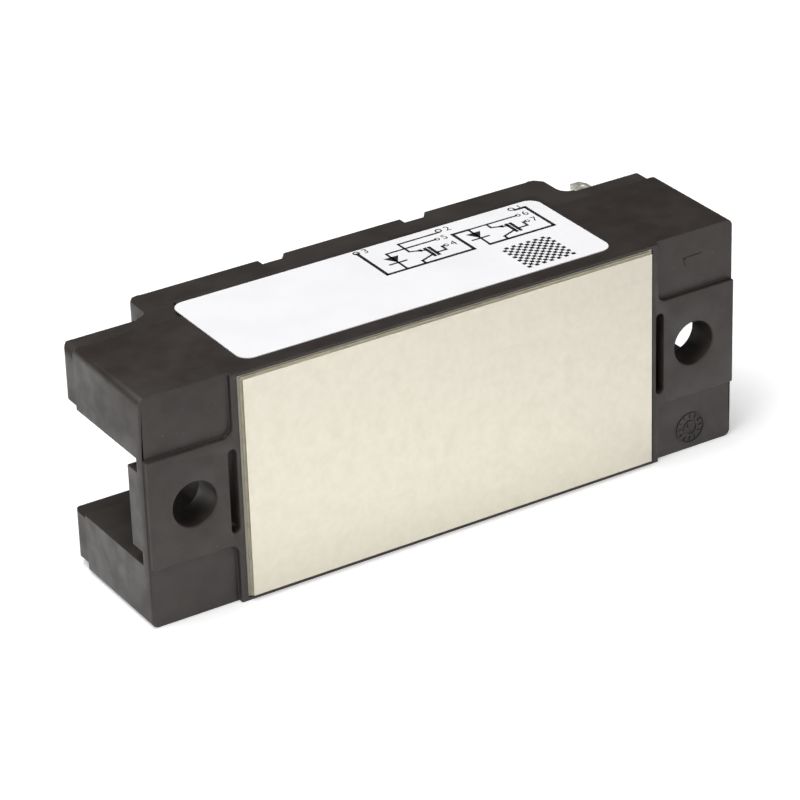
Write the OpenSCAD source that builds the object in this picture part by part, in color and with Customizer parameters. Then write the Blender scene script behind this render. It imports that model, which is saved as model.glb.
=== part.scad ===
// Half-bridge power module, 34 mm wide: moulded case and lid, ceramic base, three screw terminals.
// Modelled as it is mounted: X along the module, -Y the label side, Z up from the heatsink face.
// The last lines lay it on its long side: heatsink face to -Y, label face to +Z.

/* [Overall] */
// Length over the mounting arms
length = 94; // [92:0.5:98]
// Width over the long sides of the case
width = 34; // [33:0.5:37]
// Height of the power terminals above the mounting face
height = 30; // [29:0.5:33]
// Length of the raised middle of the housing
body_length = 67; // [66:0.25:69]
// Distance between the two mounting holes
hole_pitch = 80; // [79:0.25:82]
// Distance between neighbouring power terminals
terminal_pitch = 23; // [22.5:0.25:23.5]

/* [Case] */
// Height of the case rim on the arms
arm_rim = 19.4; // [19:0.1:21]
// Height of the case rim along the middle of the long sides
side_rim = 24.1; // [23:0.1:26]
// Distance of the higher stretch of rim from the ends of the body
side_rim_inset = 4.3; // [2.5:0.1:6]
// Wall thickness of the case
wall = 1.8; // [1.5:0.1:2]
// Radius of the upright outer corners
corner_r = 1; // [0.5:0.1:2]
// Width of a mounting arm beside the screw well
arm_width = 9.1; // [8.9:0.1:10]

/* [Mounting flange] */
// Set-back of the screw pads and the rim around the base plate from the mounting face
pad_back = 0.6; // [0.3:0.1:0.9]
// Set-back of the four corner recesses from the mounting face
recess_back = 1.4; // [1:0.1:2]
// Width of a screw pad across the module
pad_width = 16; // [13:0.1:18]
// Distance of a screw pad from the end face
pad_inset = 0.25; // [0.1:0.05:0.5]
// Width of the raised rim at each end of the base plate
band_width = 1.05; // [0.8:0.05:1.5]
// Distance of the base plate's opening from the long sides
side_lip = 0.5; // [0.4:0.05:1]
// Distance of the base plate's opening from the ends of the body
end_lip = 0.65; // [0.4:0.05:1]
// Radius in the inner corner of a corner recess
recess_r = 1.4; // [0.5:0.1:2]
// Height of the flange floor in the screw well
flange_top = 3; // [2.5:0.1:4]
// Height of the boss under the screw head
boss_top = 5.6; // [4.5:0.1:8]
// Width of the boss
boss_width = 11.9; // [10:0.1:13]
// Length of the boss from the end face
boss_length = 11.2; // [10.5:0.1:12]
// Radius of the boss corners next to the body
boss_r = 2.5; // [1:0.1:4]
// Diameter of a mounting hole
hole_d = 6.5; // [5.5:0.1:7]
// Chamfer of a mounting hole at the pad
hole_chamfer = 0.2; // [0.1:0.05:0.4]
// Width of the relief slot between pad and base plate
slot_width = 1.3; // [1:0.1:1.6]
// Length of the relief slot
slot_length = 12.4; // [10:0.1:13]

/* [Lid] */
// Height of the lid on the arms
arm_top = 23.2; // [22.6:0.1:24]
// Step by which the lid stands in from the long walls of the case
lid_inset = 0.6; // [0.3:0.05:0.8]
// Step by which the lid stands in from the end walls of the case
lid_end_inset = 0.1; // [0.05:0.05:0.4]
// Height of the terminals' top face above the plastic top
terminal_proud = 0.3; // [0.1:0.05:0.5]
// Radius of the lid's corners seen from the long side
lid_r = 1.8; // [0.8:0.1:2]
// Radius of the lid's upright corners
lid_corner_r = 1.4; // [0.5:0.1:1.8]
// Radius of the lid's long edges
lid_edge_r = 0.5; // [0.3:0.05:0.8]
// Height of the underside of the lid's inner block
plug_bottom = 18.4; // [18.2:0.1:18.8]
// Gap between the lid's inner block and the case
plug_gap = 0.2; // [0.1:0.05:0.3]
// Width of the floor of the groove between two terminals
groove_width = 3.1; // [2:0.1:4]
// Depth of the groove between two terminals
groove_depth = 1.7; // [1:0.1:2.2]
// Run of the groove's sloping side
groove_slope = 2; // [1:0.1:2.4]
// Depth of the shoulder on the groove's sloping side
groove_shoulder = 0.4; // [0.2:0.05:0.6]

/* [Base plate and ceramic] */
// Thickness of the base copper
plate_thickness = 0.4; // [0.3:0.05:0.6]
// Thickness of the ceramic
ceramic_thickness = 1; // [0.6:0.1:1.2]
// Margin of the ceramic around the base copper
ceramic_margin = 0.1; // [0.05:0.05:0.2]
// Width of the glue gap at the ends of the ceramic
glue_gap_end = 0.4; // [0.3:0.05:0.5]
// Width of the glue gap at the sides of the ceramic
glue_gap_side = 0.25; // [0.2:0.05:0.3]
// Depth of the glue bead in its gap
glue_depth = 0.5; // [0.3:0.1:0.8]

/* [Circuit] */
// Thickness of the circuit copper on the ceramic
island_thickness = 0.3; // [0.2:0.05:0.4]
// Gap between two copper islands
island_gap = 0.8; // [0.6:0.1:1]
// Distance of the circuit copper from the case wall
island_margin = 0.6; // [0.4:0.1:1]
// Width of a signal track
track_width = 1.6; // [1.2:0.1:1.8]
// Side of a transistor chip
igbt_side = 12; // [10:0.1:12]
// Side of a diode chip
diode_side = 8.5; // [6:0.1:9]
// Thickness of the chips
chip_thickness = 0.2; // [0.15:0.05:0.4]
// Gap between a transistor and its diode
chip_gap = 2; // [1.5:0.1:2.5]
// Distance of the upper switch's transistor from the edge of its copper
chip_margin = 2; // [1:0.1:2.2]
// Width of the phase copper that takes the upper switch's bond wires
landing_width = 6.5; // [5:0.1:7]
// Diameter of a bond wire
wire_d = 0.4; // [0.3:0.05:0.5]
// Number of power bond wires from one chip
wire_count = 6; // [4:1:6]
// Distance between neighbouring bond wires
wire_pitch = 1.3; // [1:0.05:1.4]
// Distance of a bond wire's foot from the edge of what it lands on
wire_inset = 1; // [0.8:0.1:1.2]
// Distance between a gate wire and the emitter wire beside it
signal_spacing = 2; // [1.5:0.1:2.2]
// Rise of a bond wire as a share of its span
wire_rise = 0.3; // [0.2:0.05:0.4]
// Height of the silicone gel above the mounting face
gel_top = 15.6; // [14:0.1:15.9]

/* [Power terminals] */
// Thickness of the terminal strip
strip_thickness = 1; // [0.8:0.1:1.2]
// Width of the terminal's top face
tab_width = 13; // [12:0.1:14]
// Length of the terminal's top face
tab_length = 14.5; // [13.5:0.1:16]
// Distance from the screw axis to the outer face of the leg
leg_offset = 7.5; // [7:0.1:8]
// Width of the terminal's leg
leg_width = 9; // [7:0.1:10]
// Length of the soldered foot
foot_length = 5; // [4:0.1:5.5]
// Inner radius of the bends
bend_r = 0.6; // [0.4:0.1:1]
// Diameter of the screw hole in the terminal
screw_hole_d = 5.6; // [5.3:0.1:6]
// Width of the captive nut across its flats
nut_flats = 8; // [7.8:0.1:8.4]
// Thickness of the captive nut
nut_thickness = 4; // [3.5:0.1:4.2]
// Bore of the captive nut, the core of its thread
nut_bore = 4.2; // [4:0.1:4.5]
// Clearance of nut, strip and tabs in the lid
fit_gap = 0.2; // [0.1:0.05:0.3]
// Depth of the screw relief under the nut
relief_depth = 3.2; // [2:0.1:4]
// Chamfer between the screw relief and the nut pocket
relief_chamfer = 0.3; // [0.2:0.1:0.5]

/* [Signal tabs] */
// Width of a plug tab
blade_width = 2.8; // [2.5:0.1:3]
// Thickness of a plug tab
blade_thickness = 0.8; // [0.5:0.1:0.9]
// Height of the plug tabs' tips
tab_tip = 30; // [28:0.1:31]
// Distance of the plug tabs' middle from the end face
tab_end = 7; // [6:0.1:8.5]
// Distance of the outer tabs from the long side
tab_side = 3.6; // [3.4:0.1:3.7]
// Distance between an outer and an inner tab
tab_spacing = 3; // [2.9:0.1:3.1]
// Taper of a tab's tip
tip_taper = 0.6; // [0.4:0.1:0.9]
// Diameter of the detent hole in a tab
detent_d = 1.2; // [1:0.1:1.4]
// Distance of the detent hole from the tip
detent_drop = 2; // [1.8:0.1:3.5]
// Height of the flat lead that joins a tab to the circuit
lead_height = 1.8; // [1.5:0.1:2]
// Distance of the lead's soldered leg from the end wall of the body
lead_inset = 3.3; // [2.7:0.1:3.7]
// Width of the lead's soldered leg
lead_width = 1.8; // [1.4:0.1:2]

/* [Label] */
// Length of the label
label_length = 58.6; // [40:0.1:59]
// Height of the label
label_height = 19.7; // [15:0.1:20.5]
// Thickness of the label
label_thickness = 0.1; // [0.05:0.05:0.2]
// Radius of the label's corners
label_r = 1.9; // [0.5:0.1:3]
// Height of the label's lower edge
label_bottom = 3.2; // [2.5:0.1:4]
// Shift of the label towards the end without tabs
label_shift = 1.1; // [0:0.1:2]

/* [Hidden] */
$fn = 48;
// Overlap of pieces that join, and run of a cut beyond what it cuts
eps = 0.01;
over = 1;
half = length / 2;
body_half = body_length / 2;
cavity = [body_length, width] - [2, 2] * wall;
side_rim_size = [body_length - 2 * side_rim_inset, width];
well_width = width - 2 * arm_width;
seat = plate_thickness + ceramic_thickness;
opening = [body_length, width] - 2 * [end_lip, side_lip];
ceramic_size = opening - 2 * [glue_gap_end, glue_gap_side];
plate_size = ceramic_size - 2 * [ceramic_margin, ceramic_margin];
band_end = opening.x / 2 + band_width;

lid_top = height - terminal_proud;
lid_half = half - lid_end_inset;
lid_width = width - 2 * lid_inset;
lid_well = well_width / 2 + lid_inset;
arm_span = lid_width / 2 - lid_well;

tab_seat = height - strip_thickness;
bend_y = leg_offset - strip_thickness - bend_r;
nut_floor = tab_seat - fit_gap - nut_thickness;
tab_x = half - tab_end;
tab_outer = width / 2 - tab_side;
tab_inner = tab_outer - tab_spacing;
lead_x = cavity.x / 2 - lead_inset;
lead_top = plug_bottom - fit_gap;
lead_bottom = lead_top - lead_height;

// Circuit: the power copper fills the middle, signal tracks run along both long sides
copper_top = seat + island_thickness;
chip_top = copper_top + chip_thickness;
copper_x = cavity.x / 2 - island_margin;
copper_y = tab_outer + track_width / 2;
power_y = tab_inner - track_width / 2 - island_gap;
plus_y = tab_outer - track_width / 2 - island_gap;
split_y = leg_offset - foot_length - island_gap;
phase_end = leg_width / 2 - terminal_pitch + island_gap;
minus_end = leg_width / 2 + island_gap;
pad_start = lead_x - lead_width;
chip_y = (split_y - island_gap - plus_y) / 2;
igbt_low_x = -island_gap / 2 - landing_width - igbt_side / 2;
diode_low_x = igbt_low_x - (igbt_side + diode_side) / 2 - chip_gap;
igbt_high_x = island_gap / 2 + chip_margin + igbt_side / 2;
diode_high_x = igbt_high_x + (igbt_side + diode_side) / 2 + chip_gap;
igbt_edge = igbt_side / 2 - wire_inset;
diode_edge = diode_side / 2 - wire_inset;

moulding = [0.2, 0.19, 0.18];
copper = [0.78, 0.47, 0.3];
nickel = [0.72, 0.71, 0.68];
silicon = [0.35, 0.36, 0.4];
aluminium = [0.8, 0.8, 0.82];

// ---- Helpers ----

// Rectangle with rounded corners, centred
module round_rect(size, r) {
    square([size.x - 2 * r, size.y], center = true);
    square([size.x, size.y - 2 * r], center = true);
    for (x = [-1, 1], y = [-1, 1])
        translate([x * (size.x / 2 - r), y * (size.y / 2 - r)]) circle(r);
}

// Piece between two edges along +X and +Y: cuts an outer corner round or fills an inner one
module corner(r) {
    difference() {
        translate([-eps, -eps]) square(r + eps);
        translate([r, r]) circle(r);
    }
}

// Quarter of a flat ring, from +X to +Y
module bend(r, thickness) {
    intersection() {
        difference() {
            circle(r + thickness);
            circle(r);
        }
        square(r + thickness);
    }
}

// Block between two opposite corners
module block(a, b) {
    translate(a) cube(b - a);
}

// Block centred on the axis, between two heights
module slab(size, bottom, top) {
    block([-size.x / 2, -size.y / 2, bottom], [size.x / 2, size.y / 2, top]);
}

// Outline drawn in X and Z, made a plate centred on Y = 0
module upright(thickness) {
    rotate([90, 0, 0]) linear_extrude(thickness, center = true) children();
}

// Outline drawn in Y and Z, made a bar along X, centred on X = 0
module along_x(run) {
    rotate([90, 0, 90]) linear_extrude(run, center = true) children();
}

// A piece and its mirror image at the other end
module both_ends() {
    children();
    mirror([1, 0, 0]) children();
}

// A piece and its mirror image on the other side
module both_sides() {
    children();
    mirror([0, 1, 0]) children();
}

// Places of the three power terminals
module at_terminals() {
    for (i = [-1:1]) translate([i * terminal_pitch, 0, 0]) children();
}

// Places of the four plug tabs
module at_tabs() {
    for (y = [tab_inner, tab_outer]) both_sides() translate([0, y, 0]) children();
}

// The module lies on its long side, label up, heatsink face towards -Y
module lie_down() {
    rotate([-90, 0, 0]) children();
}

// ---- Case ----

// Raised part of the underside: rim around the base plate and the two screw pads
module land_outline() {
    square([2 * band_end, width], center = true);
    square([length - 2 * pad_inset, pad_width], center = true);
    both_ends() both_sides() translate([band_end, pad_width / 2]) corner(recess_r);
}

// Boss under the screw head, flush with the end face
module boss() {
    translate([half, 0, 0]) linear_extrude(boss_top)
        round_rect([2 * boss_length, boss_width], boss_r);
}

// Screw well between two arms, open at the end and at the top
module well() {
    difference() {
        block([body_half, -well_width / 2, flange_top], [half + over, well_width / 2, height]);
        boss();
    }
}

module mounting_hole() {
    translate([hole_pitch / 2, 0, 0]) {
        cylinder(d = hole_d, h = boss_top + over);
        cylinder(d1 = hole_d + 2 * (hole_chamfer + pad_back), d2 = hole_d, h = hole_chamfer + pad_back);
    }
}

// Slot that lets the flange bend without loading the ceramic
module relief_slot() {
    straight = slot_length - slot_width;
    translate([body_half + slot_width / 2, 0, 0]) linear_extrude(flange_top + over) {
        square([slot_width, straight], center = true);
        for (y = [-1, 1]) translate([0, y * straight / 2]) circle(d = slot_width);
    }
}

// Hollow of one arm, or the lid's plug in it, smaller by a gap
module arm_hollow(bottom, top, gap = 0) {
    block(
        [body_half + gap, well_width / 2 + wall + gap, bottom],
        [half - wall - gap, cavity.y / 2 - gap, top]
    );
}

// Way through the body wall for the leads of two tabs
module lead_window() {
    block(
        [cavity.x / 2 - eps, well_width / 2 + wall, lead_bottom - fit_gap],
        [body_half + eps, cavity.y / 2, height]
    );
}

module case() {
    color(moulding) lie_down() difference() {
        union() {
            translate([0, 0, recess_back]) linear_extrude(arm_rim - recess_back)
                round_rect([length, width], corner_r);
            slab(side_rim_size, recess_back, side_rim);
            translate([0, 0, pad_back]) linear_extrude(recess_back - pad_back + eps) intersection() {
                land_outline();
                round_rect([length, width], corner_r);
            }
        }
        both_ends() {
            well();
            mounting_hole();
            relief_slot();
            both_sides() arm_hollow(flange_top, height);
        }
        both_sides() lead_window();
        slab(cavity, seat - eps, height);
        slab(opening, 0, seat);
    }
}

// ---- Lid ----

// Raised middle: rounded at its ends and along its long edges
module lid_body() {
    intersection() {
        upright(width) difference() {
            translate([-body_half, arm_rim]) square([body_length, lid_top - arm_rim]);
            both_ends() translate([body_half, lid_top]) rotate(180) corner(lid_r);
        }
        along_x(length) difference() {
            translate([-lid_width / 2, arm_rim]) square([lid_width, lid_top - arm_rim]);
            both_ends() translate([lid_width / 2, lid_top]) rotate(180) corner(lid_edge_r);
        }
        linear_extrude(height) round_rect([body_length, lid_width], lid_corner_r);
    }
}

// Top of one arm, blended into the raised middle and plugged into the arm's hollow
module lid_arm() {
    difference() {
        intersection() {
            translate([0, lid_well + arm_span / 2, 0]) upright(arm_span) {
                difference() {
                    translate([body_half - wall, arm_rim])
                        square([lid_half - body_half + wall, arm_top - arm_rim]);
                    translate([lid_half, arm_top]) rotate(180) corner(lid_r);
                }
                translate([body_half, arm_top]) corner(lid_r);
            }
            linear_extrude(height) round_rect([2 * lid_half, lid_width], lid_corner_r);
        }
        translate([body_half + lid_r + half / 2, 0, arm_top]) along_x(half) {
            translate([lid_width / 2, 0]) rotate(180) corner(lid_edge_r);
            translate([lid_well, 0]) rotate(270) corner(lid_edge_r);
        }
    }
    arm_hollow(plug_bottom, arm_rim + eps, plug_gap);
}

// Groove across the lid between two terminals: one steep side, one sloping side
module groove() {
    edge = groove_width / 2;
    upright(width) polygon([
        [-edge, lid_top - groove_depth],
        [edge, lid_top - groove_depth],
        [edge + groove_slope / 2, lid_top - groove_shoulder],
        [edge + groove_slope, lid_top + eps],
        [-edge, lid_top + eps]
    ]);
}

// Everything that one power terminal and its nut take out of the lid
module terminal_pocket() {
    strip = [leg_width, tab_width] / 2 + [1, 1] * fit_gap;
    leg_y = leg_offset + fit_gap;
    block([-strip.y, leg_offset - tab_length - fit_gap, tab_seat], [strip.y, leg_y, height]);
    block([-strip.x, leg_offset - strip_thickness - fit_gap, 0], [strip.x, leg_y, height]);
    block([-strip.x, bend_y, tab_seat - bend_r], [strip.x, leg_y, height]);
    translate([0, 0, nut_floor])
        cylinder(d = (nut_flats + 2 * fit_gap) / cos(30), h = height, $fn = 6);
    translate([0, 0, nut_floor - relief_depth]) cylinder(d = screw_hole_d, h = relief_depth);
    translate([0, 0, nut_floor - relief_chamfer])
        cylinder(d1 = screw_hole_d, d2 = screw_hole_d + 2 * relief_chamfer, h = relief_chamfer);
}

module lid() {
    slot = [blade_width, blade_thickness] + [2, 2] * fit_gap;
    color(moulding) lie_down() difference() {
        union() {
            difference() {
                union() {
                    lid_body();
                    both_ends() both_sides() lid_arm();
                }
                slab(side_rim_size, 0, side_rim);
            }
            slab(cavity - [2, 2] * plug_gap, plug_bottom, side_rim + eps);
        }
        for (i = [-1, 1]) translate([i * terminal_pitch / 2, 0, 0]) groove();
        at_terminals() terminal_pocket();
        at_tabs() translate([tab_x, 0, 0]) slab(slot, 0, height);
    }
}

// ---- Base ----

module base_plate() {
    color(nickel) lie_down() slab(plate_size, 0, plate_thickness);
}

module ceramic() {
    color([0.88, 0.86, 0.8]) lie_down() slab(ceramic_size, plate_thickness, seat);
}

module glue_bead() {
    color([0.8, 0.8, 0.76]) lie_down() difference() {
        slab(opening, seat - glue_depth, seat);
        slab(ceramic_size, 0, height);
    }
}

// ---- Circuit on the ceramic ----

// Piece of circuit copper between two plan corners
module island(a, b) {
    block([a.x, a.y, seat], [b.x, b.y, copper_top]);
}

module island_phase() {
    color(copper) lie_down() {
        island([-copper_x, -copper_y], [-island_gap / 2, split_y - island_gap]);
        island([-copper_x, -copper_y], [phase_end, power_y]);
    }
}

module island_minus() {
    color(copper) lie_down() island([phase_end + island_gap, split_y], [minus_end, power_y]);
}

module island_plus() {
    color(copper) lie_down() {
        island([island_gap / 2, -plus_y], [pad_start - island_gap, split_y - island_gap]);
        island([minus_end + island_gap, -power_y], [copper_x, power_y]);
    }
}

// One track along a long side, from its start to the tab's lead
module track(start, y) {
    island([start, y - track_width / 2], [copper_x, y + track_width / 2]);
}

module signal_tracks() {
    color(copper) lie_down() {
        track(igbt_low_x, tab_inner);
        track(igbt_low_x, tab_outer);
        track(pad_start, -tab_inner);
        track(igbt_high_x - igbt_edge, -tab_outer);
    }
}

module chip(side, x) {
    translate([x, chip_y, 0]) slab([side, side], copper_top, chip_top);
}

module igbt_low() {
    color(silicon) lie_down() chip(igbt_side, igbt_low_x);
}

module igbt_high() {
    color(silicon) lie_down() chip(igbt_side, igbt_high_x);
}

module diode_low() {
    color(silicon) lie_down() chip(diode_side, diode_low_x);
}

module diode_high() {
    color(silicon) lie_down() chip(diode_side, diode_high_x);
}

// Bond wire: an arc from point a to point b, cut off level with what it lands on
module wire(a, b) {
    span = norm(b - a);
    rise = span * wire_rise;
    r = (span * span / 4 + rise * rise) / (2 * rise);
    reach = asin(span / 2 / r) + 2 * asin(wire_d / 2 / r);
    middle = (a + b) / 2;
    translate([middle.x, middle.y, copper_top + rise - r])
        rotate([90, 0, atan2(b.y - a.y, b.x - a.x)])
        rotate(90 - reach) rotate_extrude(angle = 2 * reach) translate([r, 0]) circle(d = wire_d, $fn = 16);
}

// Row of bond wires, spaced across their own direction
module wires(a, b) {
    side = [a.y - b.y, b.x - a.x] / norm(b - a);
    for (i = [0:wire_count - 1]) {
        shift = side * (i - (wire_count - 1) / 2) * wire_pitch;
        wire(a + shift, b + shift);
    }
}

// Leaves of a set of wires only what stands above the copper and the chips
module landed() {
    color(aluminium) lie_down() difference() {
        children();
        slab(cavity, 0, copper_top);
        for (x = [igbt_low_x, igbt_high_x]) chip(igbt_side, x);
        for (x = [diode_low_x, diode_high_x]) chip(diode_side, x);
    }
}

module bonds_low() {
    pad = igbt_side / 4;
    landed() {
        wires([igbt_low_x, chip_y + pad / 2], [igbt_low_x, (split_y + power_y) / 2]);
        wires([diode_low_x, chip_y], [igbt_low_x - igbt_edge, chip_y]);
    }
}

module bonds_high() {
    pad = igbt_side / 4;
    landed() {
        wires([igbt_high_x - pad, chip_y], [-(island_gap + landing_width) / 2, chip_y]);
        wires([diode_high_x, chip_y], [igbt_high_x + pad, chip_y]);
    }
}

// Gate and auxiliary emitter wires of both switches
module signal_bonds() {
    gate_low = igbt_low_x + igbt_edge;
    emitter_low = gate_low + signal_spacing;
    landed() {
        wire([gate_low, chip_y + igbt_edge], [gate_low, tab_inner]);
        wire([emitter_low, power_y - wire_inset], [emitter_low, tab_outer]);
        wire([igbt_high_x, chip_y - igbt_edge], [igbt_high_x, -tab_outer]);
        wire([diode_high_x + diode_edge, chip_y - diode_edge], [pad_start + wire_inset / 2, -tab_inner]);
    }
}

// ---- Power terminals ----

// Strip bent twice: top face with the screw hole, leg, soldered foot
module terminal() {
    foot_top = copper_top + strip_thickness;
    difference() {
        union() {
            block([-tab_width / 2, leg_offset - tab_length, tab_seat], [tab_width / 2, bend_y, height]);
            along_x(leg_width) {
                translate([bend_y, tab_seat - bend_r]) bend(bend_r, strip_thickness);
                translate([leg_offset - strip_thickness, foot_top + bend_r])
                    square([strip_thickness, tab_seat - foot_top - 2 * bend_r]);
                translate([bend_y, foot_top + bend_r]) rotate(-90) bend(bend_r, strip_thickness);
                translate([leg_offset - foot_length, copper_top])
                    square([foot_length - bend_r - strip_thickness, strip_thickness]);
            }
        }
        translate([0, 0, tab_seat - over])
            cylinder(d = screw_hole_d, h = strip_thickness + 2 * over);
    }
}

module terminal_1() {
    color(nickel) lie_down() translate([terminal_pitch, 0, 0]) terminal();
}

module terminal_2() {
    color(nickel) lie_down() terminal();
}

module terminal_3() {
    color(nickel) lie_down() translate([-terminal_pitch, 0, 0]) terminal();
}

module nut() {
    difference() {
        cylinder(d = nut_flats / cos(30), h = nut_thickness, $fn = 6);
        translate([0, 0, -over]) cylinder(d = nut_bore, h = nut_thickness + 2 * over);
    }
}

module captive_nuts() {
    color(nickel) lie_down() at_terminals() translate([0, 0, nut_floor]) nut();
}

// ---- Signal tabs ----

// One flat stamping: plug tab with tapered tip, lead through the wall, leg down to its track
module signal_tab(y) {
    left = tab_x - blade_width / 2;
    right = tab_x + blade_width / 2;
    leg = lead_x - lead_width / 2;
    color(nickel) lie_down() translate([0, y, 0]) upright(blade_thickness) difference() {
        polygon([
            [leg, copper_top], [leg + lead_width, copper_top], [leg + lead_width, lead_bottom],
            [right, lead_bottom], [right, tab_tip - 2 * tip_taper], [right - tip_taper, tab_tip],
            [left + tip_taper, tab_tip], [left, tab_tip - 2 * tip_taper], [left, lead_top],
            [leg, lead_top]
        ]);
        translate([tab_x, tab_tip - detent_drop]) circle(d = detent_d);
    }
}

module tab_4() {
    signal_tab(tab_inner);
}

module tab_5() {
    signal_tab(tab_outer);
}

module tab_6() {
    signal_tab(-tab_inner);
}

module tab_7() {
    signal_tab(-tab_outer);
}

// ---- Gel and label ----

// Soft filling around the circuit, up to below the leads
module gel() {
    color([0.85, 0.87, 0.84, 0.6]) difference() {
        lie_down() slab(cavity, seat, gel_top);
        island_phase();
        island_minus();
        island_plus();
        signal_tracks();
        igbt_low();
        igbt_high();
        diode_low();
        diode_high();
        bonds_low();
        bonds_high();
        signal_bonds();
        terminal_1();
        terminal_2();
        terminal_3();
        tab_4();
        tab_5();
        tab_6();
        tab_7();
    }
}

module label() {
    color([0.97, 0.97, 0.97]) lie_down()
        translate([-label_shift, -(width + label_thickness) / 2, label_bottom + label_height / 2])
        upright(label_thickness) round_rect([label_length, label_height], label_r);
}

case();
lid();
base_plate();
ceramic();
glue_bead();
island_phase();
island_minus();
island_plus();
signal_tracks();
igbt_low();
igbt_high();
diode_low();
diode_high();
bonds_low();
bonds_high();
signal_bonds();
terminal_1();
terminal_2();
terminal_3();
captive_nuts();
tab_4();
tab_5();
tab_6();
tab_7();
gel();
label();
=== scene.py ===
"""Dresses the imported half-bridge power module: moulded housing, plated base, label print, studio."""
import logging
import math
from dataclasses import dataclass, field
from enum import Enum
from typing import Optional, Sequence, Union

import bpy
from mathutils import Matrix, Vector


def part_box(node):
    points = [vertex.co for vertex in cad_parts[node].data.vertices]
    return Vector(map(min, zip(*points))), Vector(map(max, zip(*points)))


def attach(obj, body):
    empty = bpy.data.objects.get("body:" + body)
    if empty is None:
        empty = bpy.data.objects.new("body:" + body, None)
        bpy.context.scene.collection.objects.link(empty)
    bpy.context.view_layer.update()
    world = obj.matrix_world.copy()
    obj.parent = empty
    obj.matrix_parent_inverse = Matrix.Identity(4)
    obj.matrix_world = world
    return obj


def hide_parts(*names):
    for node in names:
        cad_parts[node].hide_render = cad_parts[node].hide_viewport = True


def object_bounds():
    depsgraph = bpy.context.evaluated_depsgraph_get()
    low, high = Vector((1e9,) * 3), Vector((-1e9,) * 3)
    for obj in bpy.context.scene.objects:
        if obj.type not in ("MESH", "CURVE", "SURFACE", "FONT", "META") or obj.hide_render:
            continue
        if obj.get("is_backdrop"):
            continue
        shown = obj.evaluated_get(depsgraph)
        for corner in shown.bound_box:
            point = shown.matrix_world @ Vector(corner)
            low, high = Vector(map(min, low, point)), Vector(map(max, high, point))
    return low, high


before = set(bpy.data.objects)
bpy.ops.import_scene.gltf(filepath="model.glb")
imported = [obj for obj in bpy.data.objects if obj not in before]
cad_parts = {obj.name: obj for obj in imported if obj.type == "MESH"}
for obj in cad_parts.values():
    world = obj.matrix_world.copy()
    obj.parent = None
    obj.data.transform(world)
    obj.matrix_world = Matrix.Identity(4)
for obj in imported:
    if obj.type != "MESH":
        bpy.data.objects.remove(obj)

LOG = logging.getLogger("module")
MM = 0.001
NEAR = 0.001

Colour = tuple[float, float, float]
Value = Union[float, tuple, bpy.types.NodeSocket]


class Side(Enum):
    """Faces of the module as it lies on its long side."""

    HEATSINK = "-Y"
    LABEL = "+Z"


# ---- Finishes ----


class Graph:
    """Builds the nodes of one material or world."""

    def __init__(self, tree: bpy.types.NodeTree) -> None:
        """Empties the tree.

        Args:
            tree: node tree to fill.
        """
        self.tree = tree
        self.tree.nodes.clear()

    def add(self, kind: str, values: dict[Union[str, int], Value], **settings: object) -> bpy.types.Node:
        """Adds one node.

        Args:
            kind: node type without its ShaderNode prefix.
            values: value or incoming socket of each named or numbered input.
            settings: properties of the node.

        Returns:
            The new node.
        """
        node = self.tree.nodes.new("ShaderNode" + kind)
        for name, setting in settings.items():
            setattr(node, name, setting)
        for key, value in values.items():
            if isinstance(value, bpy.types.NodeSocket):
                self.tree.links.new(value, node.inputs[key])
            else:
                node.inputs[key].default_value = value
        return node

    def place(self) -> bpy.types.NodeSocket:
        """Returns the position on the piece in metres."""
        return self.add("TexCoord", {}).outputs["Object"]

    def noise(self, size_mm: float, detail: float = 2.0, roughness: float = 0.5,
              stretch: Colour = (1.0, 1.0, 1.0)) -> bpy.types.NodeSocket:
        """Adds noise.

        Args:
            size_mm: size of its largest features.
            detail: number of finer layers.
            roughness: strength of the finer layers.
            stretch: how many times denser it is along each axis.

        Returns:
            A value around 0.5.
        """
        where = self.add("Mapping", {"Vector": self.place(), "Scale": stretch}).outputs[0]
        values = {"Vector": where, "Scale": 1 / (size_mm * MM), "Detail": detail, "Roughness": roughness}
        return self.add("TexNoise", values).outputs["Fac"]

    def between(self, value: bpy.types.NodeSocket, low: float, high: float,
                to_low: float = 0.0, to_high: float = 1.0) -> bpy.types.NodeSocket:
        """Maps a range of a value smoothly onto another range.

        Args:
            value: the value.
            low: start of its range.
            high: end of its range.
            to_low: result at the start.
            to_high: result at the end.

        Returns:
            The mapped value.
        """
        values = {0: value, 1: low, 2: high, 3: to_low, 4: to_high}
        return self.add("MapRange", values, interpolation_type="SMOOTHSTEP").outputs[0]

    def mix(self, factor: Value, a: Value, b: Value) -> bpy.types.NodeSocket:
        """Mixes two colours.

        Args:
            factor: share of the second colour.
            a: first colour, or a socket.
            b: second colour, or a socket.

        Returns:
            The mixed colour.
        """
        values = {0: factor, 6: rgba(a), 7: rgba(b)}
        return self.add("Mix", values, data_type="RGBA").outputs[2]

    def maths(self, operation: str, a: Value, b: Value) -> bpy.types.NodeSocket:
        """Returns the result of an operation on two values."""
        return self.add("Math", {0: a, 1: b}, operation=operation).outputs[0]

    def bump(self, height: bpy.types.NodeSocket, depth_mm: float,
             below: Optional[bpy.types.NodeSocket] = None) -> bpy.types.NodeSocket:
        """Adds relief.

        Args:
            height: pattern from 0 to 1.
            depth_mm: its full depth.
            below: normal of a coarser relief underneath.

        Returns:
            The bumped normal.
        """
        values: dict[Union[str, int], Value] = {"Height": height, "Distance": depth_mm * MM}
        if below is not None:
            values["Normal"] = below
        return self.add("Bump", values).outputs[0]

    def surface(self, values: dict[Union[str, int], Value]) -> bpy.types.Node:
        """Adds the surface shader and the output.

        Args:
            values: inputs of the shader.

        Returns:
            The shader.
        """
        shader = self.add("BsdfPrincipled", values)
        self.add("OutputMaterial", {"Surface": shader.outputs[0]})
        return shader


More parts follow.
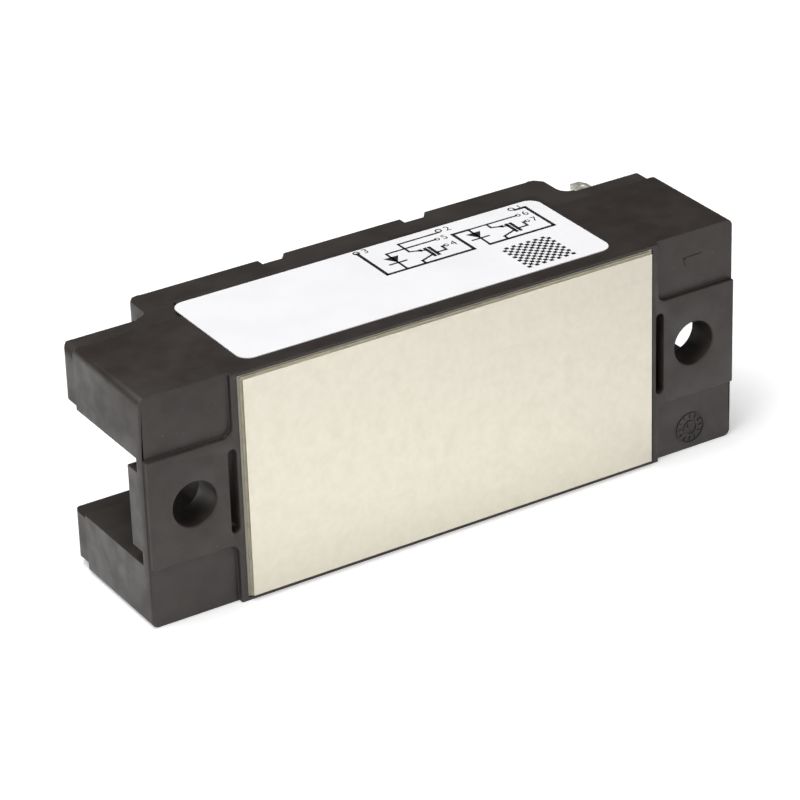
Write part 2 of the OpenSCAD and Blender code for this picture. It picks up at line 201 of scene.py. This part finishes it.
def rgba(colour: Value) -> Value:
    """Returns a colour with its alpha, and a socket as it is."""
    if isinstance(colour, tuple) and len(colour) == 3:
        return (*colour, 1.0)
    return colour


def grey(level: float) -> Colour:
    """Returns a grey of one level."""
    return (level, level, level)


@dataclass(frozen=True)
class Finish:
    """A finish: its name and how its nodes are made."""

    name: str

    def material(self) -> bpy.types.Material:
        """Returns the material, made once."""
        made = bpy.data.materials.get(self.name)
        if made is None:
            made = bpy.data.materials.new(self.name)
            made.use_nodes = True
            self.build(Graph(made.node_tree))
        return made

    def build(self, graph: Graph) -> None:
        """Fills the node tree.

        Args:
            graph: builder of the material's nodes.
        """
        raise NotImplementedError


@dataclass(frozen=True)
class MouldedPlastic(Finish):
    """Black moulding compound with an eroded grain, faint flow clouds, pale rub marks, and painted shade
    darkening its creases, steps and joints.
    """

    colour: Colour = (0.0225, 0.0165, 0.014)
    cloud: Colour = (0.03, 0.0235, 0.02)
    rub: Colour = (0.1, 0.095, 0.09)
    roughness: float = 0.5
    grain_mm: float = 0.22
    grain_depth_mm: float = 0.012
    edge_mm: float = 0.12
    crease_shade_mm: float = 1.2
    ior: float = 1.53

    def build(self, graph: Graph) -> None:
        """Fills the node tree.

        Args:
            graph: builder of the material's nodes.
        """
        clouds = graph.between(graph.noise(9.0, 3.0), 0.35, 0.65)
        colour = graph.mix(clouds, self.colour, self.cloud)
        scuffs = graph.between(graph.noise(2.6, 6.0, 0.7, (0.5, 1.0, 1.3)), 0.62, 0.78, 0.0, 0.35)
        specks = graph.between(graph.noise(0.5, 1.0), 0.73, 0.8, 0.0, 0.4)
        marks = graph.maths("MAXIMUM", scuffs, specks)
        colour = graph.mix(marks, colour, self.rub)
        # Painted shade: ambient occlusion blends the colour towards near black in creases, steps and along
        # the lid-to-case joint.
        painted_shade_openness = graph.add("AmbientOcclusion", {"Distance": self.crease_shade_mm * MM}, samples=8,
                             only_local=True).outputs["AO"]
        colour = graph.mix(graph.between(painted_shade_openness, 0.45, 0.9), grey(0.002), colour)
        fine = graph.noise(self.grain_mm, 3.0, 0.6)
        rough = graph.between(graph.noise(3.0, 4.0), 0.3, 0.7, self.roughness - 0.06, self.roughness + 0.08)
        edges = graph.add("Bevel", {"Radius": self.edge_mm * MM}, samples=8).outputs[0]
        waves = graph.bump(graph.noise(14.0, 1.0), 0.03, edges)
        normal = graph.bump(fine, self.grain_depth_mm, waves)
        graph.surface({"Base Color": colour, "Roughness": rough, "IOR": self.ior, "Normal": normal})


@dataclass(frozen=True)
class PlatedSheet(Finish):
    """Dull nickel plating with a faint mottle, smudges and fine scratches."""

    colour: Colour = (0.715, 0.677, 0.575)
    smudge: Colour = (0.63, 0.6, 0.52)
    roughness: float = 0.42

    def build(self, graph: Graph) -> None:
        """Fills the node tree.

        Args:
            graph: builder of the material's nodes.
        """
        mottle = graph.between(graph.noise(1.1, 5.0, 0.65), 0.3, 0.7)
        colour = graph.mix(mottle, self.colour, tuple(0.965 * part for part in self.colour))
        stains = graph.between(graph.noise(7.0, 5.0, 0.6), 0.6, 0.78, 0.0, 0.3)
        colour = graph.mix(stains, colour, self.smudge)
        scratch = graph.between(graph.noise(1.6, 2.0, 0.5, (0.08, 1.0, 1.6)), 0.68, 0.74, 0.0, 0.25)
        colour = graph.mix(scratch, colour, self.smudge)
        rough = graph.between(graph.noise(2.2, 4.0), 0.3, 0.7, self.roughness - 0.05, self.roughness + 0.07)
        normal = graph.bump(graph.noise(0.35, 3.0), 0.006, graph.bump(graph.noise(6.0, 1.0), 0.02))
        graph.surface({"Base Color": colour, "Metallic": 0.85, "Roughness": rough, "Normal": normal})


@dataclass(frozen=True)
class PlainMetal(Finish):
    """Metal with drawn lines along one axis and dull spots."""

    colour: Colour = (0.6, 0.58, 0.52)
    tarnish: Colour = (0.42, 0.4, 0.35)
    roughness: float = 0.32
    lines: Colour = (0.06, 1.0, 1.0)

    def build(self, graph: Graph) -> None:
        """Fills the node tree.

        Args:
            graph: builder of the material's nodes.
        """
        spots = graph.between(graph.noise(1.8, 4.0), 0.5, 0.75, 0.0, 0.7)
        drawn = graph.noise(0.3, 3.0, 0.6, self.lines)
        colour = graph.mix(spots, self.colour, self.tarnish)
        colour = graph.mix(graph.between(drawn, 0.5, 0.8, 0.0, 0.3), colour, self.tarnish)
        rough = graph.between(drawn, 0.3, 0.7, self.roughness - 0.05, self.roughness + 0.1)
        normal = graph.bump(drawn, 0.008)
        graph.surface({"Base Color": colour, "Metallic": 1.0, "Roughness": rough, "Normal": normal})


@dataclass(frozen=True)
class FiredCeramic(Finish):
    """Matt alumina edge, cream and faintly stained."""

    colour: Colour = (0.5, 0.46, 0.33)
    stain: Colour = (0.36, 0.33, 0.25)
    roughness: float = 0.5

    def build(self, graph: Graph) -> None:
        """Fills the node tree.

        Args:
            graph: builder of the material's nodes.
        """
        stains = graph.between(graph.noise(1.4, 4.0), 0.42, 0.68, 0.0, 0.7)
        colour = graph.mix(stains, self.colour, self.stain)
        normal = graph.bump(graph.noise(0.18, 2.0), 0.01)
        graph.surface({"Base Color": colour, "Roughness": self.roughness, "Normal": normal})


@dataclass(frozen=True)
class CuredSilicone(Finish):
    """Translucent silicone: glue in the joint, or the gel over the circuit."""

    colour: Colour = (0.62, 0.6, 0.53)
    deep: Colour = (0.4, 0.38, 0.32)
    roughness: float = 0.35
    clearness: float = 0.0

    def build(self, graph: Graph) -> None:
        """Fills the node tree.

        Args:
            graph: builder of the material's nodes.
        """
        lumps = graph.noise(1.2, 3.0)
        colour = graph.mix(graph.between(lumps, 0.4, 0.65), self.colour, self.deep)
        values = {"Base Color": colour, "Roughness": self.roughness, "IOR": 1.41,
                  "Transmission Weight": self.clearness, "Normal": graph.bump(lumps, 0.08)}
        graph.surface(values)


@dataclass(frozen=True)
class PolishedSilicon(Finish):
    """Chip face with its metal pads' faint grid."""

    colour: Colour = (0.2, 0.2, 0.23)

    def build(self, graph: Graph) -> None:
        """Fills the node tree.

        Args:
            graph: builder of the material's nodes.
        """
        clouds = graph.between(graph.noise(3.0, 2.0), 0.4, 0.6)
        colour = graph.mix(clouds, self.colour, tuple(1.3 * part for part in self.colour))
        graph.surface({"Base Color": colour, "Metallic": 0.6, "Roughness": 0.2})


@dataclass(frozen=True)
class LabelFilm(Finish):
    """White film with a satin face."""

    colour: Colour = (0.945, 0.945, 0.96)
    shade: Colour = (0.91, 0.91, 0.93)

    def build(self, graph: Graph) -> None:
        """Fills the node tree.

        Args:
            graph: builder of the material's nodes.
        """
        colour = graph.mix(graph.between(graph.noise(11.0, 3.0), 0.35, 0.65), self.colour, self.shade)
        rough = graph.between(graph.noise(1.0, 3.0), 0.3, 0.7, 0.42, 0.52)
        normal = graph.bump(graph.noise(0.5, 3.0), 0.003, graph.bump(graph.noise(8.0, 1.0), 0.02))
        graph.surface({"Base Color": colour, "Roughness": rough, "Normal": normal})


@dataclass(frozen=True)
class Ink(Finish):
    """Thermal transfer ink, thinner here and there."""

    colour: Colour = (0.012, 0.012, 0.014)

    def build(self, graph: Graph) -> None:
        """Fills the node tree.

        Args:
            graph: builder of the material's nodes.
        """
        thin = graph.between(graph.noise(0.25, 3.0), 0.5, 0.8, 0.0, 0.6)
        colour = graph.mix(thin, self.colour, grey(0.08))
        graph.surface({"Base Color": colour, "Roughness": 0.45})


@dataclass(frozen=True)
class PaleFloor(Finish):
    """White table that keeps a soft shadow and runs into a white background."""

    level: float = 0.86
    glow: float = 0.36

    def build(self, graph: Graph) -> None:
        """Fills the node tree.

        Args:
            graph: builder of the material's nodes.
        """
        rays = graph.add("LightPath", {}).outputs
        seen = graph.maths("MAXIMUM", rays["Is Camera Ray"], rays["Is Glossy Ray"])
        seen = graph.maths("MAXIMUM", seen, rays["Is Transmission Ray"])
        cloth = graph.between(graph.noise(120.0, 2.0), 0.3, 0.7)
        colour = graph.mix(cloth, grey(self.level), grey(self.level + 0.01))
        values = {"Base Color": colour, "Roughness": 0.9, "Specular IOR Level": 0.0,
                  "Emission Color": rgba(grey(1.0)),
                  "Emission Strength": graph.maths("MULTIPLY", seen, self.glow)}
        graph.surface(values)


CASE_PLASTIC = MouldedPlastic("case_plastic")
LID_PLASTIC = MouldedPlastic("lid_plastic", colour=(0.026, 0.021, 0.017), cloud=(0.036, 0.03, 0.025))
PLATING = PlatedSheet("plate_nickel")
ALUMINA = FiredCeramic("alumina")
GLUE = CuredSilicone("glue")
GEL = CuredSilicone("gel", colour=(0.85, 0.87, 0.84), deep=(0.8, 0.82, 0.8), roughness=0.1, clearness=0.9)
COPPER = PlainMetal("circuit_copper", colour=(0.72, 0.4, 0.26), tarnish=(0.5, 0.26, 0.16))
WIRE = PlainMetal("bond_aluminium", colour=(0.8, 0.8, 0.82), tarnish=(0.7, 0.7, 0.72))
TERMINAL = PlainMetal("terminal_nickel", colour=(0.66, 0.64, 0.58), tarnish=(0.5, 0.48, 0.42))
ZINC = PlainMetal("nut_zinc", colour=(0.6, 0.6, 0.6), tarnish=(0.45, 0.45, 0.42))
TAB = PlainMetal("tab_tin", colour=(0.88, 0.86, 0.78), tarnish=(0.62, 0.61, 0.52), roughness=0.55,
                 lines=(1.0, 0.06, 1.0))
SILICON = PolishedSilicon("silicon")
FILM = LabelFilm("label_film")
INK = Ink("label_ink")
FLOOR = PaleFloor("pale_floor")


# ---- Modelling ----


def deselect() -> None:
    """Leaves nothing selected."""
    bpy.ops.object.select_all(action="DESELECT")


def activate(piece: bpy.types.Object) -> None:
    """Makes one piece the only selected and the active one."""
    deselect()
    piece.select_set(True)
    bpy.context.view_layer.objects.active = piece


def dress(piece: bpy.types.Object, finish: Finish) -> None:
    """Gives a piece one finish."""
    piece.data.materials.clear()
    piece.data.materials.append(finish.material())


def corners(node: str) -> tuple[Vector, Vector]:
    """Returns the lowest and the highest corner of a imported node."""
    low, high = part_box(node)
    return Vector(low), Vector(high)


def settle(piece: bpy.types.Object) -> None:
    """Applies a piece's place, turn and size to its mesh."""
    activate(piece)
    bpy.ops.object.transform_apply(location=True, rotation=True, scale=True)


def round_edge(piece: bpy.types.Object, place: Vector, reach: Sequence[float], radius: float,
               segments: int) -> None:
    """Rounds the edges whose ends lie near a place.

    Args:
        piece: piece in millimetres.
        place: the place.
        reach: how far from it an end may lie along each axis.
        radius: radius of the round.
        segments: facets of the round.
    """
    activate(piece)
    bpy.ops.object.mode_set(mode="EDIT")
    bpy.ops.mesh.select_all(action="DESELECT")
    bpy.ops.object.mode_set(mode="OBJECT")
    for vertex in piece.data.vertices:
        vertex.select = all(abs(gap) < limit for gap, limit in zip(vertex.co - place, reach))
    bpy.ops.object.mode_set(mode="EDIT")
    bpy.ops.mesh.bevel(offset=radius, segments=segments, affect="EDGES")
    bpy.ops.object.mode_set(mode="OBJECT")


@dataclass
class Softened:
    """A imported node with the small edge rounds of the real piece."""

    node: str
    slot: str
    finish: Finish
    round_mm: float
    segments: int = 2

    def build(self) -> bpy.types.Object:
        """Makes the rounded piece and lets it stand for its node.

        Returns:
            The piece.
        """
        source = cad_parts[self.node]
        piece = bpy.data.objects.new(self.node + "_rounded", source.data.copy())
        bpy.context.scene.collection.objects.link(piece)
        activate(piece)
        bpy.ops.object.mode_set(mode="EDIT")
        bpy.ops.mesh.select_all(action="SELECT")
        bpy.ops.mesh.remove_doubles(threshold=2e-6)
        bpy.ops.mesh.dissolve_limited(angle_limit=math.radians(0.4))
        bpy.ops.object.mode_set(mode="OBJECT")
        bpy.ops.object.shade_smooth()
        bpy.ops.object.modifier_add(type="BEVEL")
        bevel = piece.modifiers[-1]
        bevel.width = self.round_mm * MM
        bevel.segments = self.segments
        bevel.limit_method = "ANGLE"
        bevel.angle_limit = math.radians(35)
        bevel.use_clamp_overlap = False
        bevel.harden_normals = True
        bpy.ops.object.modifier_apply(modifier=bevel.name)
        dress(piece, self.finish)
        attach(piece, "root")
        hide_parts(self.node)
        return piece


@dataclass
class Drawing:
    """Flat print or relief made of strokes, discs and figures on one face of the module."""

    name: str
    slot: str
    finish: Finish
    side: Side
    level: float
    thickness_mm: float
    marks: list[bpy.types.Object] = field(default_factory=list)

    def stroke(self, start: Sequence[float], end: Sequence[float], width: float) -> None:
        """Draws a straight line.

        Args:
            start: first end in millimetres.
            end: second end.
            width: width of the line.
        """
        a, b = Vector(start), Vector(end)
        middle = (a + b) / 2
        turn = math.atan2(b.y - a.y, b.x - a.x)
        bpy.ops.mesh.primitive_plane_add(size=1, location=(middle.x, middle.y, 0), rotation=(0, 0, turn))
        mark = bpy.context.object
        mark.scale = ((b - a).length + width, width, 1)
        self.marks.append(mark)

    def path(self, points: Sequence[Sequence[float]], width: float) -> None:
        """Draws a line through several points, each stroke of one width."""
        for start, end in zip(points, points[1:]):
            self.stroke(start, end, width)

    def arrow(self, tip: Sequence[float], turn_deg: float, length: float, width: float) -> None:
        """Draws a filled triangle.

        Args:
            tip: its point.
            turn_deg: direction in which it points.
            length: distance from its base to its tip.
            width: width of its base.
        """
        turn = math.radians(turn_deg)
        centre = Vector(tip) - Vector((math.cos(turn), math.sin(turn))) * length * 2 / 3
        bpy.ops.mesh.primitive_circle_add(vertices=3, radius=1, fill_type="NGON",
                                          location=(centre.x, centre.y, 0),
                                          rotation=(0, 0, turn - math.pi / 2))
        mark = bpy.context.object
        mark.scale = (width / math.sqrt(3), length / 1.5, 1)
        self.marks.append(mark)

    def ring(self, centre: Sequence[float], radius: float, width: float) -> None:
        """Draws a circle.

        Args:
            centre: its centre.
            radius: radius of its middle line.
            width: width of the line.
        """
        bpy.ops.mesh.primitive_circle_add(vertices=32, radius=radius + width / 2, fill_type="NGON",
                                          location=(*centre, 0))
        mark = bpy.context.object
        bpy.ops.object.mode_set(mode="EDIT")
        bpy.ops.mesh.inset(thickness=width, depth=0)
        bpy.ops.mesh.delete(type="FACE")
        bpy.ops.object.mode_set(mode="OBJECT")
        self.marks.append(mark)

    def figure(self, text: str, corner: Sequence[float], height: float) -> None:
        """Writes a plain number.

        Args:
            text: the number.
            corner: its lower left corner.
            height: height of the digits.
        """
        bpy.ops.object.text_add(location=(*corner, 0))
        mark = bpy.context.object
        mark.data.body = text
        mark.data.size = height / 0.69
        bpy.ops.object.convert(target="MESH")
        self.marks.append(bpy.context.object)

    def finished(self) -> bpy.types.Object:
        """Joins the marks, gives them their thickness and lays them on their face.

        Returns:
            The piece.
        """
        deselect()
        for mark in self.marks:
            mark.select_set(True)
        bpy.context.view_layer.objects.active = self.marks[0]
        bpy.ops.object.transform_apply(location=True, rotation=True, scale=True)
        bpy.ops.object.join()
        piece = bpy.context.object
        piece.name = self.name
        bpy.ops.object.mode_set(mode="EDIT")
        bpy.ops.mesh.select_all(action="SELECT")
        bpy.ops.mesh.normals_make_consistent(inside=False)
        bpy.ops.mesh.extrude_region_move(TRANSFORM_OT_translate={"value": (0, 0, self.thickness_mm)})
        bpy.ops.mesh.select_all(action="SELECT")
        bpy.ops.mesh.normals_make_consistent(inside=False)
        bpy.ops.object.mode_set(mode="OBJECT")
        piece.scale = (MM, MM, MM)
        if self.side is Side.LABEL:
            piece.location = (0, 0, self.level)
        else:
            piece.rotation_euler = (math.pi / 2, 0, 0)
            piece.location = (0, self.level, 0)
        settle(piece)
        dress(piece, self.finish)
        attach(piece, "root")
        return piece


# ---- Sub-assemblies ----


@dataclass
class Housing:
    """Case with its edge rounds, lid with its upright corners, and the marks of the mould."""

    edge_mm: float = 0.14
    recess_mm: float = 1.4
    mark_relief_mm: float = 0.12
    wheel_centre: tuple[float, float] = (40.0, -13.75)
    wheel_radii: tuple[float, ...] = (1.05, 2.3)
    wheel_ticks: int = 12
    corner_mark: tuple[tuple[float, float], ...] = ((38.8, 13.1), (39.0, 12.0))
    corner_line: tuple[tuple[float, float], ...] = ((38.8, 13.1), (41.7, 13.2))
    body_half_mm: float = 33.5
    post_mm: float = 2.0
    post_foot_mm: float = 23.0
    post_skin_mm: float = 0.01
    end_round_mm: float = 1.8
    long_round_mm: float = 0.3
    long_run_mm: float = 1.3

    def build(self) -> None:
        """Makes the housing."""
        Softened("case", "housing", CASE_PLASTIC, self.edge_mm).build()
        dress(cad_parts["lid"], LID_PLASTIC)
        self.corner_posts()
        self.date_wheel()
        self.mould_line()
        LOG.info("housing: case rounded by %.2f mm, four corner posts, two mould marks", self.edge_mm)

    def corner_posts(self) -> None:
        """Makes the upright corners of the raised middle crisp, down to the arms' blends."""
        top = corners("lid")[1] / MM
        skin = Vector((1, 1, 1)) * self.post_skin_mm
        outer = Vector((self.body_half_mm, top.y, top.z)) - skin
        size = Vector((self.post_mm, outer.y - self.post_foot_mm, self.post_mm))
        posts = []
        for end in (-1, 1):
            for side in (-1, 1):
                middle = outer - size / 2
                deselect()
                bpy.ops.mesh.primitive_cube_add(size=1, location=(end * middle.x, middle.y, side * middle.z))
                post = bpy.context.object
                post.scale = size
                settle(post)
                round_edge(post, Vector((end * outer.x, outer.y, 0)), (NEAR, NEAR, math.inf),
                           self.end_round_mm, 8)
                round_edge(post, Vector((0, outer.y, side * outer.z)), (math.inf, self.long_run_mm, NEAR),
                           self.long_round_mm, 3)
                posts.append(post)
        deselect()
        for post in posts:
            post.select_set(True)
        bpy.context.view_layer.objects.active = posts[0]
        bpy.ops.object.join()
        piece = bpy.context.object
        piece.name = "lid_corner_posts"
        piece.scale = (MM, MM, MM)
        settle(piece)
        bpy.ops.object.mode_set(mode="EDIT")
        bpy.ops.mesh.select_all(action="SELECT")
        bpy.ops.mesh.normals_make_consistent(inside=False)
        bpy.ops.object.mode_set(mode="OBJECT")
        bpy.ops.object.shade_smooth_by_angle(angle=math.radians(30))
        dress(piece, LID_PLASTIC)
        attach(piece, "root")

    def relief(self, name: str) -> Drawing:
        """Returns an empty raised drawing on the recessed underside."""
        level = (self.recess_mm + 0.01) * MM
        return Drawing(name, "housing", CASE_PLASTIC, Side.HEATSINK, level, self.mark_relief_mm + 0.01)

    def date_wheel(self) -> None:
        """Makes the mould's date wheel: two rings, ticks between them and an arrow."""
        wheel = self.relief("date_wheel")
        inner, outer = self.wheel_radii
        centre = Vector(self.wheel_centre)
        for radius in self.wheel_radii:
            wheel.ring(centre, radius, 0.16)
        for tick in range(self.wheel_ticks):
            turn = 2 * math.pi * tick / self.wheel_ticks
            ray = Vector((math.cos(turn), math.sin(turn)))
            wheel.stroke(centre + ray * (inner + 0.5), centre + ray * (outer - 0.3), 0.18)
        wheel.stroke(centre + Vector((0.35, -0.55)), centre + Vector((-0.2, 0.3)), 0.2)
        wheel.arrow(centre + Vector((-0.5, 0.78)), 122, 0.6, 0.6)
        wheel.finished()

    def mould_line(self) -> None:
        """Makes the short angled line beside the upper right recess."""
        line = self.relief("mould_line")
        line.path(self.corner_mark, 0.2)
        line.path(self.corner_line, 0.16)
        line.finished()


@dataclass
class Substrate:
    """Base plate, ceramic, circuit and gel."""

    plate_round_mm: float = 0.06
    islands: tuple[str, ...] = ("island_phase", "island_minus", "island_plus", "signal_tracks")
    chips: tuple[str, ...] = ("igbt_low", "igbt_high", "diode_low", "diode_high")
    wires: tuple[str, ...] = ("bonds_low", "bonds_high", "signal_bonds")

    def build(self) -> None:
        """Dresses the substrate."""
        Softened("base_plate", "plating", PLATING, self.plate_round_mm).build()
        for names, finish in ((self.islands, COPPER), (self.chips, SILICON), (self.wires, WIRE),
                              (("ceramic",), ALUMINA), (("glue_bead",), GLUE), (("gel",), GEL)):
            for name in names:
                dress(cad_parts[name], finish)
        LOG.info("substrate: plate rounded, %d inner nodes dressed",
                 len(self.islands + self.chips + self.wires) + 3)


@dataclass
class Terminals:
    """Screw terminals with their captive nuts, and the plug tabs."""

    strip_round_mm: float = 0.12
    tab_round_mm: float = 0.08
    screw_terminals: tuple[str, ...] = ("terminal_1", "terminal_2", "terminal_3")
    plug_tabs: tuple[str, ...] = ("tab_4", "tab_5", "tab_6", "tab_7")

    def build(self) -> None:
        """Makes the terminals and tabs."""
        for name in self.screw_terminals:
            Softened(name, "terminal", TERMINAL, self.strip_round_mm).build()
        for name in self.plug_tabs:
            Softened(name, "tab", TAB, self.tab_round_mm).build()
        dress(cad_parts["captive_nuts"], ZINC)
        LOG.info("terminals: %d strips, %d tabs", len(self.screw_terminals), len(self.plug_tabs))


@dataclass
class LabelPrint:
    """White label with the circuit diagram and a plain checked field."""

    line_mm: float = 0.36
    bus_mm: float = 0.52
    ink_mm: float = 0.008
    low_switch_x: float = 1.6
    high_switch_x: float = 15.0
    return_mm: float = 13.9
    emitter_mm: float = 19.5
    check_corner: tuple[float, float] = (15.1, 4.5)
    check_cell: float = 0.6
    check_count: int = 12

    def build(self) -> None:
        """Dresses the label and prints it."""
        dress(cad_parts["label"], FILM)
        top = corners("label")[1].z
        ink = Drawing("label_print", "label", INK, Side.LABEL, top, self.ink_mm)
        self.switch(ink, self.low_switch_x, "5", "4")
        self.switch(ink, self.high_switch_x, "6", "7")
        self.buses(ink)
        self.checks(ink)
        ink.finished()
        LOG.info("label: circuit diagram with plain numbers, %d marks", len(ink.marks))

    def switch(self, ink: Drawing, x: float, sense: str, gate: str) -> None:
        """Draws one switch: diode, transistor, gate and sense leads.

        Args:
            ink: drawing to add to.
            x: place of its diode.
            sense: number of the emitter's sense lead.
            gate: number of the gate lead.
        """
        low, high, line = self.return_mm, self.emitter_mm, self.line_mm
        leg = x + 3.0
        channel = x + 5.3
        ink.stroke((x, low), (x, high), line)
        ink.arrow((x, low + 2.5), -90, 1.9, 2.4)
        ink.stroke((x - 1.3, low + 2.4), (x + 1.3, low + 2.4), line)
        ink.path(((x, high), (leg, high), (x + 8.0, high)), line)
        ink.path(((leg, high), (leg, low + 4.4), (channel, low + 3.5)), line)
        ink.arrow((leg + 0.7, low + 4.15), 158, 1.0, 0.9)
        ink.path(((leg, low), (leg, low + 1.0), (channel, low + 1.9)), line)
        ink.stroke((channel, low + 1.4), (channel, low + 4.0), self.bus_mm)
        ink.stroke((channel + 0.65, low + 1.4), (channel + 0.65, low + 4.0), self.bus_mm)
        ink.path(((channel + 0.65, low + 2.1), (x + 7.6, low + 2.1), (x + 7.6, low + 3.3),
                  (x + 8.0, low + 3.3)), line)
        ink.ring((x + 8.3, high), 0.32, 0.17)
        ink.ring((x + 8.3, low + 3.3), 0.32, 0.17)
        ink.figure(sense, (x + 9.0, high - 0.6), 1.3)
        ink.figure(gate, (x + 9.0, low + 2.7), 1.3)

    def buses(self, ink: Drawing) -> None:
        """Draws the lines that join the switches to the power terminals."""
        low, high = self.return_mm, self.emitter_mm
        left, right = self.low_switch_x, self.high_switch_x
        link = (left + right + 8.2) / 2
        ink.path(((left - 3.2, 21.8), (left - 3.2, low), (link, low), (link, high), (right, high)),
                 self.bus_mm)
        ink.path(((left + 3.0, high), (left + 3.0, 21.2), (left + 9.7, 21.2)), self.line_mm)
        ink.path(((right, low), (right + 10.6, low), (right + 10.6, 21.2), (right + 9.0, 21.2)), self.bus_mm)
        for number, x, y in (("3", left - 3.2, 22.1), ("2", left + 9.9, 21.7), ("1", right + 8.6, 21.7)):
            ink.ring((x, y), 0.42, 0.22)
            ink.figure(number, (x + 0.9, y - 0.7), 1.3)

    def checks(self, ink: Drawing) -> None:
        """Prints the plain checked field."""
        cell = self.check_cell
        for row in range(self.check_count):
            for column in range(row % 2, self.check_count + 1, 2):
                x = self.check_corner[0] + column * cell
                y = self.check_corner[1] + (row + 0.5) * cell
                ink.stroke((x + cell / 2 - 0.001, y), (x + cell / 2 + 0.001, y), cell)


# ---- Studio ----


@dataclass
class Lamp:
    """One soft lamp that looks at the module."""

    name: str
    place: tuple[float, float, float]
    size: float
    power: float

    def build(self) -> None:
        """Hangs the lamp."""
        data = bpy.data.lights.new(self.name, "AREA")
        data.shape = "DISK"
        data.size = self.size
        data.energy = self.power
        lamp = bpy.data.objects.new(self.name, data)
        lamp.location = self.place
        lamp.rotation_euler = Vector(self.place).to_track_quat("Z", "Y").to_euler()
        bpy.context.scene.collection.objects.link(lamp)


@dataclass
class Studio:
    """Floor, soft lamps, plain surroundings and the camera."""

    floor_m: float = 6.0
    camera_place: tuple[float, float, float] = (-0.2359, -0.3741, 0.2355)
    camera_turn_deg: tuple[float, float, float] = (62.324, 1.676, -32.142)
    lens_mm: float = 167.25
    air: float = 0.08
    lamps: tuple[Lamp, ...] = (
        Lamp("top_lamp", (-0.3, 0.04, 1.15), 0.9, 12.8),
        Lamp("left_lamp", (-1.1, -0.5, 0.5), 0.7, 5.5),
        Lamp("front_lamp", (0.55, -1.15, 0.6), 0.8, 4.5),
    )

    def build(self) -> None:
        """Sets up the studio."""
        self.floor()
        self.surroundings()
        for lamp in self.lamps:
            lamp.build()
        self.camera()
        bpy.context.scene.view_settings.view_transform = "Standard"
        LOG.info("studio: floor, %d lamps, camera", len(self.lamps))

    def floor(self) -> None:
        """Lays the floor under the module."""
        deselect()
        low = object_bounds()[0]
        bpy.ops.mesh.primitive_plane_add(size=self.floor_m, location=(0, 0, low[2] - 0.00002))
        floor = bpy.context.object
        floor.name = "floor"
        bpy.ops.object.mode_set(mode="EDIT")
        bpy.ops.mesh.subdivide(number_cuts=4)
        bpy.ops.object.mode_set(mode="OBJECT")
        settle(floor)
        dress(floor, FLOOR)
        floor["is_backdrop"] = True

    def surroundings(self) -> None:
        """Fills the air with an even grey light."""
        world = bpy.data.worlds.new("surroundings")
        world.use_nodes = True
        graph = Graph(world.node_tree)
        light = graph.add("Background", {"Color": rgba(grey(1.0)), "Strength": self.air})
        graph.add("OutputWorld", {"Surface": light.outputs[0]})
        bpy.context.scene.world = world

    def camera(self) -> None:
        """Sets up the camera."""
        data = bpy.data.cameras.new("camera")
        data.lens = self.lens_mm
        data.clip_start = 0.01
        camera = bpy.data.objects.new("camera", data)
        camera.location = self.camera_place
        camera.rotation_euler = [math.radians(turn) for turn in self.camera_turn_deg]
        bpy.context.scene.collection.objects.link(camera)
        bpy.context.scene.camera = camera


def main() -> None:
    """Builds every sub-assembly in order."""
    logging.basicConfig(level=logging.INFO, format="%(name)s: %(message)s")
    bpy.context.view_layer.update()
    for assembly in (Studio(), Housing(), Substrate(), Terminals(), LabelPrint()):
        assembly.build()


if __name__ == "__main__":
    main()
